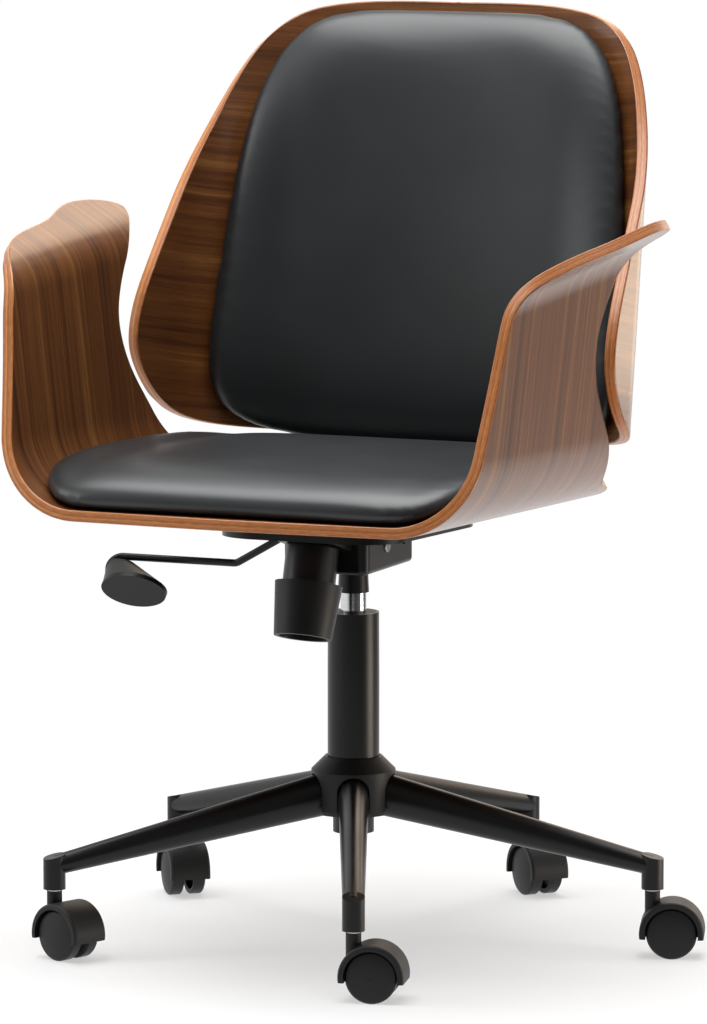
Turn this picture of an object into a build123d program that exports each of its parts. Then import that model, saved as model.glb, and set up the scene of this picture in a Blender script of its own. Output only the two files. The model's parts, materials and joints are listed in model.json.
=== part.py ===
from build123d import *
import os
from math import asin, cos, degrees, radians, sin, tan

# Swivel desk chair with a bent plywood seat and back on a five-star caster base.
# Millimetres, +Z up, origin on the floor under the column, the chair faces -Y.

# Clearances
run_gap = 0.05        # radial, where a piece turns or slides on another
fix_gap = 0.02        # radial, where a piece is fixed in another
free_gap = 0.4        # round soft pieces and loose passages

# Five-star base
leg_count = 5
base_turn = 23        # degrees, first leg from the chair's front
leg_reach = 309.3     # column axis to caster stem
leg_hub_width = 30
leg_hub_height = 43
leg_end_width = 21
leg_end_height = 20
leg_hub_radius = 43   # where the hub height is measured
leg_hub_z = 144.7
leg_end_z = 90.6
leg_wall = 2
socket_diameter = 22
socket_bottom = 67.3
stem_hole_depth = 26

# Hub
sleeve_diameter = 56
sleeve_bottom = 126
sleeve_top = 176
cover_diameter = 84
cover_bottom = 128
cover_shoulder = 171
cover_top = 184.5
cover_top_diameter = 57
cover_bevel = 4
cover_wall = 2.5
arch_gap = 1.5

# Gas lift column
column_diameter = 51.5
column_top_diameter = 51
column_top = 329
column_taper_start = 270
column_bottom = 108
column_end_diameter = 41
cone_bottom_diameter = 45
cone_top_diameter = 49
column_bore = 46
column_lower_bore = 36
column_floor = 6
bush_length = 40
rod_diameter = 10
rod_top = 280
piston_length = 12
shoulder_diameter = 18
shoulder_length = 4
bearing_height = 6
clip_diameter = 18
clip_thickness = 2
cylinder_diameter = 26
cylinder_bottom = 170
cylinder_bore = 22
cylinder_end_wall = 10
cylinder_top = 392
cylinder_top_diameter = 24
valve_diameter = 5
valve_rise = 6
valve_depth = 8
valve_travel = 6

# Mechanism
lift_gap = 20         # from the mouth of the tube to the socket
socket_lip_diameter = 31
socket_collar = 4
socket_body_diameter = 40
box_floor = 376
box_rim = 412
box_rear_rim = 398
box_front = -74
box_rear = 50
box_half_width = 45
box_wall = 2.5
box_corner = 9
axle_y = -21.5
axle_z = 400
axle_diameter = 10
axle_head_diameter = 13
axle_head = 1.6
slot_hole_y = 22
slot_hole_diameter = 8

# Tilt tension, measured along the bolt from the top rim of the knob
bolt_tilt = 16.3      # degrees, foot of the bolt towards the front
knob_rim_y = -111.8
knob_rim_z = 371
knob_length = 53
knob_top_diameter = 66.6
knob_foot_diameter = 57.3
knob_wall = 4
knob_web = 6
knob_web_drop = 36
knob_foot_wall = 5
cup_diameter = 52
cup_wall = 2.5
cup_drop = 8
cup_rise = 38
nose_thickness = 3
nose_half_width = 30
nose_front = 31
nose_rear = 30.5
nose_flange = 6
bolt_diameter = 10
bolt_head_diameter = 16
bolt_head_height = 6
bolt_head_rise = 60.5
spring_wire = 4
spring_mean_diameter = 34

# Height lever on the chair's right
lever_diameter = 7.5
lever_z = 402
lever_inner_x = 8
lever_knee_x = -72
lever_low_x = -127
lever_low_z = 370.5
lever_outer_x = -267
lever_bend = 12
lever_drop_y = -16
lever_drop_z = 352
paddle_neck_width = 30
paddle_neck_height = 15
paddle_width = 70
paddle_height = 46
paddle_length = 36
paddle_pad = 5
paddle_pitch = 40     # degrees, pad facing forward and down
paddle_neck_shift = 8 # neck inward from the rod's end
paddle_shift = 26     # pad inward from the neck

# Seat pan
seat_tilt = 2         # degrees, front edge up
pan_thickness = 3
pan_half_width = 95
pan_front = -145
pan_rear = 122
pan_corner = 50
pan_flange = 22
tub_half_width = 41
tub_front = -120
tub_rear = 46
tub_depth = 14
tub_corner = 16
ear_gap = 3           # from the box wall to an ear
ear_width = 24
bolt_slot = 21
seat_bolt_x = 70
seat_bolt_y = 90
fixing_diameter = 6
fixing_head_diameter = 12
fixing_head_height = 4
fixing_reach = 8

# Plywood seat with arms
ply = 11
seat_front = -312
seat_front_z = 447.5    # underside of the front edge
seat_flat = 164.2     # half width of the flat seat
seat_bend = 87.2
arm_lean = 6.4        # degrees from upright
flare_z = 665.8       # start of the flare above the column
flare_climb = 3.4     # degrees, the flare rises to the rear
flare_bend = 44.5
flare_turn = 51.3
flare_length = 60
seat_rear = 214
trim_lean = 25        # degrees, the edge is cut square to the middle of the flare

# Plywood back
back_tilt = 9.3
back_z = 600
back_y = 229          # rear face at the back frame's origin
back_sweep = 900
back_flat = 148
back_bend = 128
back_bend_end = 83    # degrees
wing_length = 90
back_top = 360
back_bottom = -85
back_trim = 65        # degrees, the edge is cut square to the middle of the wing

# Bracket from the seat to the back
bracket_width = 60
bracket_thickness = 6
bracket_front = 126
bracket_bend = 18
spacer_thickness = 25
spacer_width = 70
spacer_height = 90
bracket_top = 20
back_bolt_x = 18
back_bolt_low = -48
back_bolt_high = 4

# Cushions
cushion_gap = 0.6     # to the plywood
seat_cushion_front = -305
seat_cushion_rear = 195
seat_cushion_half_width = 223
seat_cushion_taper = 16
seat_cushion_height = 42
seat_cushion_edge = 20
back_cushion_top = 342
back_cushion_bottom = -78
back_cushion_half_width = 222
back_cushion_taper = 26
back_cushion_thickness = 44
back_cushion_edge = 16

# Casters
wheel_diameter = 50
wheel_width = 15.5
wheel_gap = 10        # between the two wheels
wheel_dome = 3
wheel_rim = 5
wheel_hub_diameter = 14
caster_trail = 19.5
hood_radius = 32
hood_clear = 1.2
hood_width = 42
hood_web = 8
hood_drop = 5         # lower edge of the hood under the axle
hood_neck_diameter = 15
hood_neck_top = 65.5
caster_axle_diameter = 6
stem_diameter = 11
stem_foot = 47
stem_collar_diameter = 14
caster_turns = (13, 18, -42, -50, -21)   # degrees, trail from +X, front leg first

os.makedirs("parts", exist_ok=True)


def write(piece, node):
    """Label a finished piece and write it under its node name."""
    piece.part.label = node
    export_step(piece.part, f"parts/{node}.step")


def leg_angle(index):
    """Direction of a leg in degrees from +X; the first points to the chair's front, turned."""
    return base_turn - 90 + index * 360 / leg_count


def radial_plane(angle, radius, height):
    """Upright plane square to a leg, local x sideways and local y up."""
    a = radians(angle)
    return Plane((radius * cos(a), radius * sin(a), height), (-sin(a), cos(a), 0), (cos(a), sin(a), 0))


def leg_line(radius, hub_value, end_value):
    """Value on a straight line from the hub to the caster stem."""
    share = (radius - leg_hub_radius) / (leg_reach - leg_hub_radius)
    return hub_value + (end_value - hub_value) * share


def leg_section(radius, wall=0):
    """Half width, half height and middle height of the tapered leg at a radius."""
    width = leg_line(radius, leg_hub_width, leg_end_width) / 2 - wall
    height = leg_line(radius, leg_hub_height, leg_end_height) / 2 - wall
    return width, height, leg_line(radius, leg_hub_z, leg_end_z)


# Base legs: tapered oval tubes, each with its upright caster socket
stem_radius = stem_diameter / 2
sleeve_radius = sleeve_diameter / 2
socket_radius = socket_diameter / 2
leg_top_slope = (leg_hub_z + leg_hub_height / 2 - leg_end_z - leg_end_height / 2) / (leg_reach - leg_hub_radius)
leg_top_end = leg_end_z + leg_end_height / 2
for index in range(leg_count):
    angle = leg_angle(index)
    along = Vector(cos(radians(angle)), sin(radians(angle)), 0)
    stem_spot = along * leg_reach
    with BuildPart() as base_leg:
        with BuildSketch(Plane(stem_spot + Vector(0, 0, socket_bottom))):
            Circle(socket_radius)
        extrude(amount=leg_top_end + socket_radius - socket_bottom)
        top_normal = along * leg_top_slope + Vector(0, 0, 1)
        cut_spot = stem_spot + Vector(0, 0, leg_top_end - leg_wall / 4)
        with BuildSketch(Plane(cut_spot, (-along.Y, along.X, 0), top_normal)):
            Rectangle(3 * socket_diameter, 3 * socket_diameter)
        extrude(amount=2 * socket_diameter, mode=Mode.SUBTRACT)
        for radius in (sleeve_radius - leg_wall, leg_reach):
            half_width, half_height, middle = leg_section(radius)
            with BuildSketch(radial_plane(angle, radius, middle)):
                Ellipse(half_width, half_height)
        loft()
        for radius in (sleeve_radius - 2 * leg_wall, leg_reach - socket_radius - leg_wall):
            half_width, half_height, middle = leg_section(radius, leg_wall)
            with BuildSketch(radial_plane(angle, radius, middle)):
                Ellipse(half_width, half_height)
        loft(mode=Mode.SUBTRACT)
        with BuildSketch(Plane(stem_spot + Vector(0, 0, socket_bottom))):
            Circle(stem_radius + fix_gap)
        extrude(amount=stem_hole_depth, mode=Mode.SUBTRACT)
        with BuildSketch(Plane.XY):
            Circle(sleeve_radius + fix_gap)
        extrude(amount=cover_top, mode=Mode.SUBTRACT)
    write(base_leg, f"base_leg_{index + 1}")

# Hub sleeve: welded centre of the base with the taper that grips the column
with BuildPart() as hub_sleeve:
    with BuildSketch(Plane.XZ):
        with BuildLine():
            Polyline(
                (cone_bottom_diameter / 2 + fix_gap, sleeve_bottom),
                (sleeve_radius, sleeve_bottom),
                (sleeve_radius, sleeve_top),
                (cone_top_diameter / 2 + fix_gap, sleeve_top),
                close=True,
            )
        make_face()
    revolve(axis=Axis.Z)
write(hub_sleeve, "hub_sleeve")

# Hub cover: moulded shell with a conical collar and an arch over each leg
cover_radius = cover_diameter / 2
collar_bore = column_diameter / 2 + free_gap
with BuildPart() as hub_cover:
    with BuildSketch(Plane.XZ):
        with BuildLine():
            Polyline(
                (cover_radius - cover_wall, cover_bottom),
                (cover_radius - cover_wall / 2, cover_bottom),
                (cover_radius, cover_bottom + cover_bevel),
                (cover_radius, cover_shoulder),
                (cover_top_diameter / 2, cover_top),
                (collar_bore, cover_top),
                (collar_bore, cover_top - 2 * cover_wall),
                (cover_radius - cover_wall, cover_shoulder - cover_wall),
                close=True,
            )
        make_face()
    revolve(axis=Axis.Z)
    arch_half_width, arch_half_height, arch_middle = leg_section(cover_radius)
    arch_radius = arch_half_width + arch_gap
    arch_centre = arch_middle + arch_half_height + arch_gap - arch_radius
    for index in range(leg_count):
        with BuildSketch(radial_plane(leg_angle(index), sleeve_radius, arch_centre)):
            Circle(arch_radius)
            with Locations((0, (cover_bottom - cover_bevel - arch_centre) / 2)):
                Rectangle(2 * arch_radius, arch_centre - cover_bottom + cover_bevel)
        extrude(amount=cover_radius, mode=Mode.SUBTRACT)
write(hub_cover, "hub_cover")

# Column tube: outer tube of the gas lift, tapered at its foot, closed by a floor
column_radius = column_diameter / 2
bore_radius = column_bore / 2
rod_radius = rod_diameter / 2
floor_top = column_bottom + column_floor
with BuildPart() as column_tube:
    with BuildSketch(Plane.XZ):
        with BuildLine():
            Polyline(
                (rod_radius + free_gap, column_bottom),
                (column_end_diameter / 2, column_bottom),
                (column_end_diameter / 2, sleeve_bottom - fix_gap),
                (cone_bottom_diameter / 2, sleeve_bottom),
                (cone_top_diameter / 2, sleeve_top),
                (column_radius, sleeve_top + fix_gap),
                (column_radius, column_taper_start),
                (column_top_diameter / 2, column_top),
                (bore_radius, column_top),
                (bore_radius, cover_top),
                (column_lower_bore / 2, sleeve_top),
                (column_lower_bore / 2, floor_top),
                (rod_radius + free_gap, floor_top),
                close=True,
            )
        make_face()
    revolve(axis=Axis.Z)
write(column_tube, "column_tube")

# Guide bush: carries the gas cylinder in the mouth of the tube
cylinder_radius = cylinder_diameter / 2
with BuildPart() as guide_bush:
    with BuildSketch(Plane.XY.offset(column_top - bush_length)):
        Circle(bore_radius - fix_gap)
        Circle(cylinder_radius + run_gap, mode=Mode.SUBTRACT)
    extrude(amount=bush_length)
write(guide_bush, "guide_bush")

# Thrust bearing: carries the piston rod on the floor of the tube
with BuildPart() as thrust_bearing:
    with BuildSketch(Plane.XY.offset(floor_top)):
        Circle(column_lower_bore / 2 - free_gap)
        Circle(rod_radius + run_gap, mode=Mode.SUBTRACT)
    extrude(amount=bearing_height)
write(thrust_bearing, "thrust_bearing")

# Piston rod: stands on the bearing, with the piston inside the gas cylinder
clip_top = column_bottom - free_gap
groove_radius = rod_radius - 1
with BuildPart() as piston_rod:
    with BuildSketch(Plane.XZ):
        with BuildLine():
            Polyline(
                (0, clip_top - 2 * clip_thickness),
                (rod_radius, clip_top - 2 * clip_thickness),
                (rod_radius, clip_top - clip_thickness),
                (groove_radius, clip_top - clip_thickness),
                (groove_radius, clip_top),
                (rod_radius, clip_top),
                (rod_radius, floor_top + bearing_height),
                (shoulder_diameter / 2, floor_top + bearing_height),
                (shoulder_diameter / 2, floor_top + bearing_height + shoulder_length),
                (rod_radius, floor_top + bearing_height + shoulder_length),
                (rod_radius, rod_top - piston_length),
                (cylinder_bore / 2 - run_gap, rod_top - piston_length),
                (cylinder_bore / 2 - run_gap, rod_top),
                (0, rod_top),
                close=True,
            )
        make_face()
    revolve(axis=Axis.Z)
write(piston_rod, "piston_rod")

# Retaining clip: holds the rod under the floor of the tube
with BuildPart() as retaining_clip:
    with BuildSketch(Plane.XY.offset(clip_top - clip_thickness)):
        Circle(clip_diameter / 2)
        Circle(groove_radius + fix_gap, mode=Mode.SUBTRACT)
        with Locations((clip_diameter / 2, 0)):
            Rectangle(clip_diameter, groove_radius, mode=Mode.SUBTRACT)
    extrude(amount=clip_thickness)
write(retaining_clip, "retaining_clip")

# Gas cylinder: chromed, hollow, with a tapered head
valve_radius = valve_diameter / 2
socket_lip = column_top + lift_gap
socket_step = box_floor - socket_collar
with BuildPart() as gas_cylinder:
    with BuildSketch(Plane.XZ):
        with BuildLine():
            Polyline(
                (rod_radius + run_gap, cylinder_bottom),
                (cylinder_radius, cylinder_bottom),
                (cylinder_radius, socket_lip),
                (cylinder_top_diameter / 2, cylinder_top),
                (valve_radius + run_gap, cylinder_top),
                (valve_radius + run_gap, cylinder_top - valve_depth - valve_travel),
                (0, cylinder_top - valve_depth - valve_travel),
                (0, socket_step),
                (cylinder_bore / 2, socket_step),
                (cylinder_bore / 2, cylinder_bottom + cylinder_end_wall),
                (rod_radius + run_gap, cylinder_bottom + cylinder_end_wall),
                close=True,
            )
        make_face()
    revolve(axis=Axis.Z)
write(gas_cylinder, "gas_cylinder")

# Valve button: the pin that the lever presses
with BuildPart() as valve_button:
    with BuildSketch(Plane.XY.offset(cylinder_top - valve_depth)):
        Circle(valve_radius)
    extrude(amount=valve_depth + valve_rise)
    fillet(valve_button.edges().group_by(Axis.Z)[-1], valve_radius / 4)
write(valve_button, "valve_button")

# Column socket: turned cup in the floor of the mechanism that grips the cylinder's head
with BuildPart() as column_socket:
    with BuildSketch(Plane.XZ):
        with BuildLine():
            Polyline(
                (cylinder_radius + fix_gap, socket_lip),
                (socket_lip_diameter / 2, socket_lip),
                (socket_lip_diameter / 2 - 1, socket_step),
                (socket_body_diameter / 2, socket_step + free_gap),
                (socket_body_diameter / 2, box_floor + box_wall),
                (cylinder_top_diameter / 2 + fix_gap, cylinder_top),
                close=True,
            )
        make_face()
    revolve(axis=Axis.Z)
write(column_socket, "column_socket")


def across(span):
    """Plane square to X at a distance from the middle, local x to the rear and local y up."""
    return Plane((span, 0, 0), (0, 1, 0), (1, 0, 0))


def bolt_point(rise, back=0):
    """Point in (y, z) along the tension bolt, moved square to it towards the rear."""
    a = radians(bolt_tilt)
    return (knob_rim_y + rise * sin(a) + back * cos(a), knob_rim_z + rise * cos(a) - back * sin(a))


def bolt_plane(rise):
    """Plane square to the tension bolt."""
    y, z = bolt_point(rise)
    a = radians(bolt_tilt)
    return Plane((0, y, z), (1, 0, 0), (0, sin(a), cos(a)))


# Mechanism box: pressed tray with a raised nose for the tension bolt
axle_radius = axle_diameter / 2
lever_radius = lever_diameter / 2
bolt_radius = bolt_diameter / 2
with BuildPart() as mechanism_box:
    with BuildSketch(Plane.XY.offset(box_floor)):
        with Locations((0, (box_front + box_rear) / 2)):
            RectangleRounded(2 * box_half_width, box_rear - box_front, box_corner)
    extrude(amount=box_rim - box_floor)
    fillet(mechanism_box.faces().sort_by(Axis.Z)[0].edges(), box_corner / 2)
    with BuildSketch(Plane.XY.offset(box_floor + box_wall)):
        with Locations((0, (box_front + box_rear) / 2)):
            RectangleRounded(
                2 * (box_half_width - box_wall), box_rear - box_front - 2 * box_wall, box_corner - box_wall
            )
    extrude(amount=box_rim - box_floor, mode=Mode.SUBTRACT)
    with BuildSketch(Plane.XZ.offset(-box_rear - box_wall)):
        with Locations((0, box_rear_rim)):
            Rectangle(2 * (box_half_width - box_corner), box_rim, align=(Align.CENTER, Align.MIN))
    extrude(amount=3 * box_wall, mode=Mode.SUBTRACT)
    with BuildSketch(across(-nose_half_width)):
        with BuildLine():
            Polyline(
                bolt_point(cup_rise, -nose_front),
                bolt_point(cup_rise, nose_rear),
                bolt_point(cup_rise + nose_thickness, nose_rear),
                bolt_point(cup_rise + nose_thickness, -nose_front),
                close=True,
            )
        make_face()
    extrude(amount=2 * nose_half_width)
    for side in (-nose_half_width, nose_half_width - nose_thickness):
        with BuildSketch(across(side)):
            with BuildLine():
                Polyline(
                    bolt_point(cup_rise, -nose_front),
                    bolt_point(cup_rise, nose_rear),
                    bolt_point(cup_rise + nose_thickness + nose_flange, nose_rear),
                    bolt_point(cup_rise + nose_thickness + nose_flange, -nose_front + nose_flange),
                    close=True,
                )
            make_face()
        extrude(amount=nose_thickness)
    with BuildSketch(bolt_plane(cup_rise - nose_thickness)):
        Circle(bolt_radius + free_gap)
    extrude(amount=3 * nose_thickness, mode=Mode.SUBTRACT)
    with BuildSketch(Plane.XY.offset(box_floor)):
        Circle(socket_body_diameter / 2 + fix_gap)
    extrude(amount=box_wall, mode=Mode.SUBTRACT)
    with BuildSketch(across(-2 * box_half_width)):
        with Locations((axle_y, axle_z)):
            Circle(axle_radius + fix_gap)
        with Locations((slot_hole_y, axle_z)):
            Circle(slot_hole_diameter / 2)
    extrude(amount=4 * box_half_width, mode=Mode.SUBTRACT)
    with BuildSketch(across(-2 * box_half_width)):
        with Locations((0, lever_z)):
            Circle(lever_radius + free_gap)
    extrude(amount=2 * box_half_width, mode=Mode.SUBTRACT)
write(mechanism_box, "mechanism_box")

# Tilt axle: riveted through the box
with BuildPart() as tilt_axle:
    with BuildSketch(across(-box_half_width - axle_head)):
        with Locations((axle_y, axle_z)):
            Circle(axle_head_diameter / 2)
    extrude(amount=axle_head)
    with BuildSketch(across(-box_half_width)):
        with Locations((axle_y, axle_z)):
            Circle(axle_radius)
    extrude(amount=2 * box_half_width)
    with BuildSketch(across(box_half_width)):
        with Locations((axle_y, axle_z)):
            Circle(axle_head_diameter / 2)
    extrude(amount=axle_head)
    outer_rims = tilt_axle.faces().filter_by(Axis.X).sort_by(Axis.X)
    fillet(outer_rims[0].edges() + outer_rims[-1].edges(), axle_head / 2)
write(tilt_axle, "tilt_axle")

# Spring cup: hangs under the nose and holds the head of the tension spring
cup_radius = cup_diameter / 2
with BuildPart() as spring_cup:
    with BuildSketch(bolt_plane(-cup_drop)):
        Circle(cup_radius)
    extrude(amount=cup_drop + cup_rise)
    fillet(spring_cup.edges().filter_by(GeomType.CIRCLE).sort_by(Axis.Z)[-1], cup_wall)
    with BuildSketch(bolt_plane(-cup_drop)):
        Circle(cup_radius - cup_wall)
    extrude(amount=cup_drop + cup_rise - cup_wall, mode=Mode.SUBTRACT)
    with BuildSketch(bolt_plane(0)):
        Circle(bolt_radius + free_gap)
    extrude(amount=2 * cup_rise, mode=Mode.SUBTRACT)
write(spring_cup, "spring_cup")

# Tension bolt: hangs from the seat pan, through the nose and the cup, to the knob
with BuildPart() as tension_bolt:
    with BuildSketch(bolt_plane(-knob_web_drop)):
        Circle(bolt_radius)
    extrude(amount=knob_web_drop + bolt_head_rise)
    with BuildSketch(bolt_plane(bolt_head_rise)):
        RegularPolygon(bolt_head_diameter / 2, 6)
    extrude(amount=bolt_head_height)
write(tension_bolt, "tension_bolt")

# Tension knob: tapered cap that slides up round the cup, hollow at its foot
web_top = knob_web - knob_web_drop
knob_top_radius = knob_top_diameter / 2
knob_foot_radius = knob_foot_diameter / 2
web_radius = knob_top_radius - (knob_top_radius - knob_foot_radius) * knob_web_drop / knob_length - knob_wall
with BuildPart(bolt_plane(0)) as tension_knob:
    with BuildSketch(bolt_plane(0) * Plane.XZ):
        with BuildLine():
            Polyline(
                (bolt_radius + run_gap, -knob_web_drop),
                (knob_foot_radius - knob_foot_wall, -knob_web_drop),
                (knob_foot_radius - knob_foot_wall, -knob_length),
                (knob_foot_radius, -knob_length),
                (knob_top_radius, 0),
                (knob_top_radius - knob_wall, 0),
                (web_radius, web_top),
                (bolt_radius + run_gap, web_top),
                close=True,
            )
        make_face()
    knob_axis = Axis((0, knob_rim_y, knob_rim_z), (0, sin(radians(bolt_tilt)), cos(radians(bolt_tilt))))
    revolve(axis=knob_axis)
write(tension_knob, "tension_knob")

# Tension spring: stands on the knob's web and pushes up inside the cup
spring_outer = (spring_mean_diameter + spring_wire) / 2
spring_inner = (spring_mean_diameter - spring_wire) / 2
with BuildPart() as tension_spring:
    with BuildSketch(bolt_plane(web_top)):
        Circle(spring_outer)
        Circle(spring_inner, mode=Mode.SUBTRACT)
    extrude(amount=cup_rise - cup_wall - web_top)
write(tension_spring, "tension_spring")

# Lever rod: bent wire from the valve out to the paddle
lever_end = (lever_outer_x + lever_bend / 2, lever_drop_y, lever_drop_z)
with BuildPart() as lever_rod:
    with BuildLine():
        FilletPolyline(
            (lever_inner_x, 0, lever_z),
            (lever_knee_x, 0, lever_z),
            (lever_low_x, 0, lever_low_z),
            (lever_outer_x, 0, lever_low_z),
            lever_end,
            radius=lever_bend,
        )
    with BuildSketch(Plane((lever_inner_x, 0, lever_z), (0, 1, 0), (-1, 0, 0))):
        Circle(lever_radius)
    sweep()
write(lever_rod, "lever_rod")

# Lever paddle: moulded grip that widens from its neck to an oval pad
pad_normal = Vector(0, -cos(radians(paddle_pitch)), -sin(radians(paddle_pitch)))
neck_spot = Vector(lever_end) - pad_normal * paddle_length / 2 + Vector(paddle_neck_shift, 0, 0)
with BuildPart() as lever_paddle:
    with BuildSketch(Plane(neck_spot, (1, 0, 0), pad_normal)):
        Ellipse(paddle_neck_width / 2, paddle_neck_height / 2)
    pad_spot = neck_spot + pad_normal * (paddle_length - paddle_pad) + Vector(paddle_shift, 0, 0)
    with BuildSketch(Plane(pad_spot, (1, 0, 0), pad_normal)):
        Ellipse(paddle_width / 2, paddle_height / 2)
    loft()
    with BuildSketch(Plane(pad_spot, (1, 0, 0), pad_normal)):
        Ellipse(paddle_width / 2, paddle_height / 2)
    extrude(amount=paddle_pad)
    add(lever_rod.part, mode=Mode.SUBTRACT)
write(lever_paddle, "lever_paddle")


# Seat frame: under face of the plywood seat, tilted front edge up
seat_slope = tan(radians(seat_tilt))
under_z = seat_front_z + seat_slope * seat_front
tilt_sin = sin(radians(seat_tilt))
tilt_cos = cos(radians(seat_tilt))


def under_plane(drop=0):
    """Plane parallel to the seat's under face, lower by the drop, local y to the rear."""
    return Plane((0, -drop * tilt_sin, under_z - drop * tilt_cos), (1, 0, 0), (0, tilt_sin, tilt_cos))


# Seat pan: plate under the seat with a turned-down rim, a sunk tub and two ears on the tilt axle
ear_half_spread = box_half_width - box_wall - ear_gap
bolt_slot_y, bolt_slot_z = bolt_point(bolt_head_rise)
axle_drop = (under_z - axle_z) * tilt_cos - axle_y * tilt_sin
ear_y = axle_y * tilt_cos - (axle_z - under_z) * tilt_sin
with BuildPart() as seat_pan:
    with BuildSketch(under_plane(pan_thickness)):
        with Locations((0, (pan_front + pan_rear) / 2)):
            RectangleRounded(2 * pan_half_width, pan_rear - pan_front, pan_corner)
    extrude(amount=pan_thickness)
    with BuildSketch(under_plane(pan_thickness + pan_flange)):
        with Locations((0, (pan_front + pan_rear) / 2)):
            RectangleRounded(2 * pan_half_width, pan_rear - pan_front, pan_corner)
            RectangleRounded(
                2 * (pan_half_width - pan_thickness),
                pan_rear - pan_front - 2 * pan_thickness,
                pan_corner - pan_thickness,
                mode=Mode.SUBTRACT,
            )
    extrude(amount=pan_flange)
    with BuildSketch(under_plane(tub_depth + pan_thickness)):
        with Locations((0, (tub_front + tub_rear) / 2)):
            RectangleRounded(2 * tub_half_width, tub_rear - tub_front, tub_corner)
    extrude(amount=tub_depth + pan_thickness)
    with BuildSketch(under_plane(tub_depth)):
        with Locations((0, (tub_front + tub_rear) / 2)):
            RectangleRounded(
                2 * (tub_half_width - pan_thickness),
                tub_rear - tub_front - 2 * pan_thickness,
                tub_corner - pan_thickness,
            )
    extrude(amount=tub_depth, mode=Mode.SUBTRACT)
    for side in (-ear_half_spread, ear_half_spread - pan_thickness):
        with BuildSketch(Plane((side, 0, under_z), (0, tilt_cos, -tilt_sin), (1, 0, 0))):
            with Locations((ear_y, -axle_drop)):
                Circle(ear_width / 2)
                Rectangle(ear_width, axle_drop - tub_depth, align=(Align.CENTER, Align.MIN))
        extrude(amount=pan_thickness)
    with BuildSketch(across(-box_half_width)):
        with Locations((axle_y, axle_z)):
            Circle(axle_radius + run_gap)
    extrude(amount=2 * box_half_width, mode=Mode.SUBTRACT)
    with BuildSketch(under_plane(tub_depth + pan_thickness)):
        with Locations((0, bolt_slot_y)):
            SlotOverall(bolt_slot, bolt_diameter + 2 * free_gap, rotation=90)
    extrude(amount=pan_thickness, mode=Mode.SUBTRACT)
    with BuildSketch(under_plane(pan_thickness)):
        with GridLocations(2 * seat_bolt_x, 2 * seat_bolt_y, 2, 2):
            Circle(fixing_diameter / 2 + free_gap)
    extrude(amount=pan_thickness, mode=Mode.SUBTRACT)
write(seat_pan, "seat_pan")

# Seat bolts: four, from the pan up into the plywood
with BuildPart() as seat_bolts:
    with BuildSketch(under_plane(pan_thickness + fixing_head_height)):
        with GridLocations(2 * seat_bolt_x, 2 * seat_bolt_y, 2, 2):
            Circle(fixing_head_diameter / 2)
    extrude(amount=fixing_head_height)
    with BuildSketch(under_plane(pan_thickness)):
        with GridLocations(2 * seat_bolt_x, 2 * seat_bolt_y, 2, 2):
            Circle(fixing_diameter / 2)
    extrude(amount=pan_thickness + fixing_reach)
write(seat_bolts, "seat_bolts")


def seat_under(y):
    """Height of the seat's under face at a distance from the column."""
    return under_z - seat_slope * y


def seat_path(y, inset):
    """Half section of the seat and arm: flat, bend, arm and flare, moved in by the inset."""
    base = seat_under(y)
    bend_turn = 90 - arm_lean
    bend_rise = seat_bend * (1 - cos(radians(bend_turn)))
    flare_start = flare_z + tan(radians(flare_climb)) * y
    arm_length = (flare_start - base - bend_rise) / cos(radians(arm_lean))
    flat = Line((0, base + inset), (seat_flat, base + inset))
    bend = JernArc(flat @ 1, flat % 1, seat_bend - inset, bend_turn)
    arm = PolarLine(bend @ 1, arm_length, direction=bend % 1)
    flare = JernArc(arm @ 1, arm % 1, flare_bend + inset, -flare_turn)
    tip = PolarLine(flare @ 1, flare_length, direction=flare % 1)
    return flat @ 0, tip @ 1


# Seat shell: plywood bent up into flared arms, cut to the side outline
trim_sin = sin(radians(trim_lean))
trim_cos = cos(radians(trim_lean))
front_edge = trim_sin * seat_flat + trim_cos * seat_front_z
with BuildPart() as seat_shell:
    for y in (seat_front - 2 * ply, seat_rear + 6 * ply):
        with BuildSketch(Plane.XZ.offset(-y)):
            with BuildLine():
                under_start, under_end = seat_path(y, 0)
                top_start, top_end = seat_path(y, ply)
                Line(under_start, top_start)
                Line(under_end, top_end)
            make_face()
    loft(ruled=True)
    with BuildSketch(Plane((0, 0, 0), (0, 1, 0), (trim_cos, 0, -trim_sin))):
        with BuildLine():
            side_outline = Spline(
                (seat_front, front_edge - 62),
                (seat_front + 17, front_edge + 49),
                (seat_front + 58, front_edge + 192),
                (seat_front + 72, front_edge + 234),
                (seat_front + 96, front_edge + 262),
                (seat_front + 146, front_edge + 290),
                (seat_front + 244, front_edge + 302),
                (seat_front + 342, front_edge + 312),
                (seat_front + 396, front_edge + 292),
                (seat_front + 374, front_edge + 274),
                (seat_front + 344, front_edge + 250),
                (seat_front + 315, front_edge + 216),
                (seat_front + 303, front_edge + 186),
                (seat_front + 310, front_edge + 153),
                (seat_front + 363, front_edge + 90),
                (seat_front + 425, front_edge + 31),
                (seat_rear - 60, front_edge + 20),
                (seat_rear - 22, front_edge - 8),
                (seat_rear - 4, front_edge - 50),
                (seat_rear, front_edge - 88),
                tangents=((0, 1), (0, -1)),
            )
            low_edge = trim_cos * seat_under(seat_rear) - 3 * ply
            Polyline(side_outline @ 1, (seat_rear, low_edge), (seat_front, low_edge), side_outline @ 0)
        make_face()
    extrude(amount=2 * seat_front_z, both=True, mode=Mode.INTERSECT)
    mirror(about=Plane.YZ)
    with BuildSketch(under_plane()):
        with GridLocations(2 * seat_bolt_x, 2 * seat_bolt_y, 2, 2):
            Circle(fixing_diameter / 2 + fix_gap)
    extrude(amount=fixing_reach + free_gap, mode=Mode.SUBTRACT)
write(seat_shell, "seat_shell")

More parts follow.
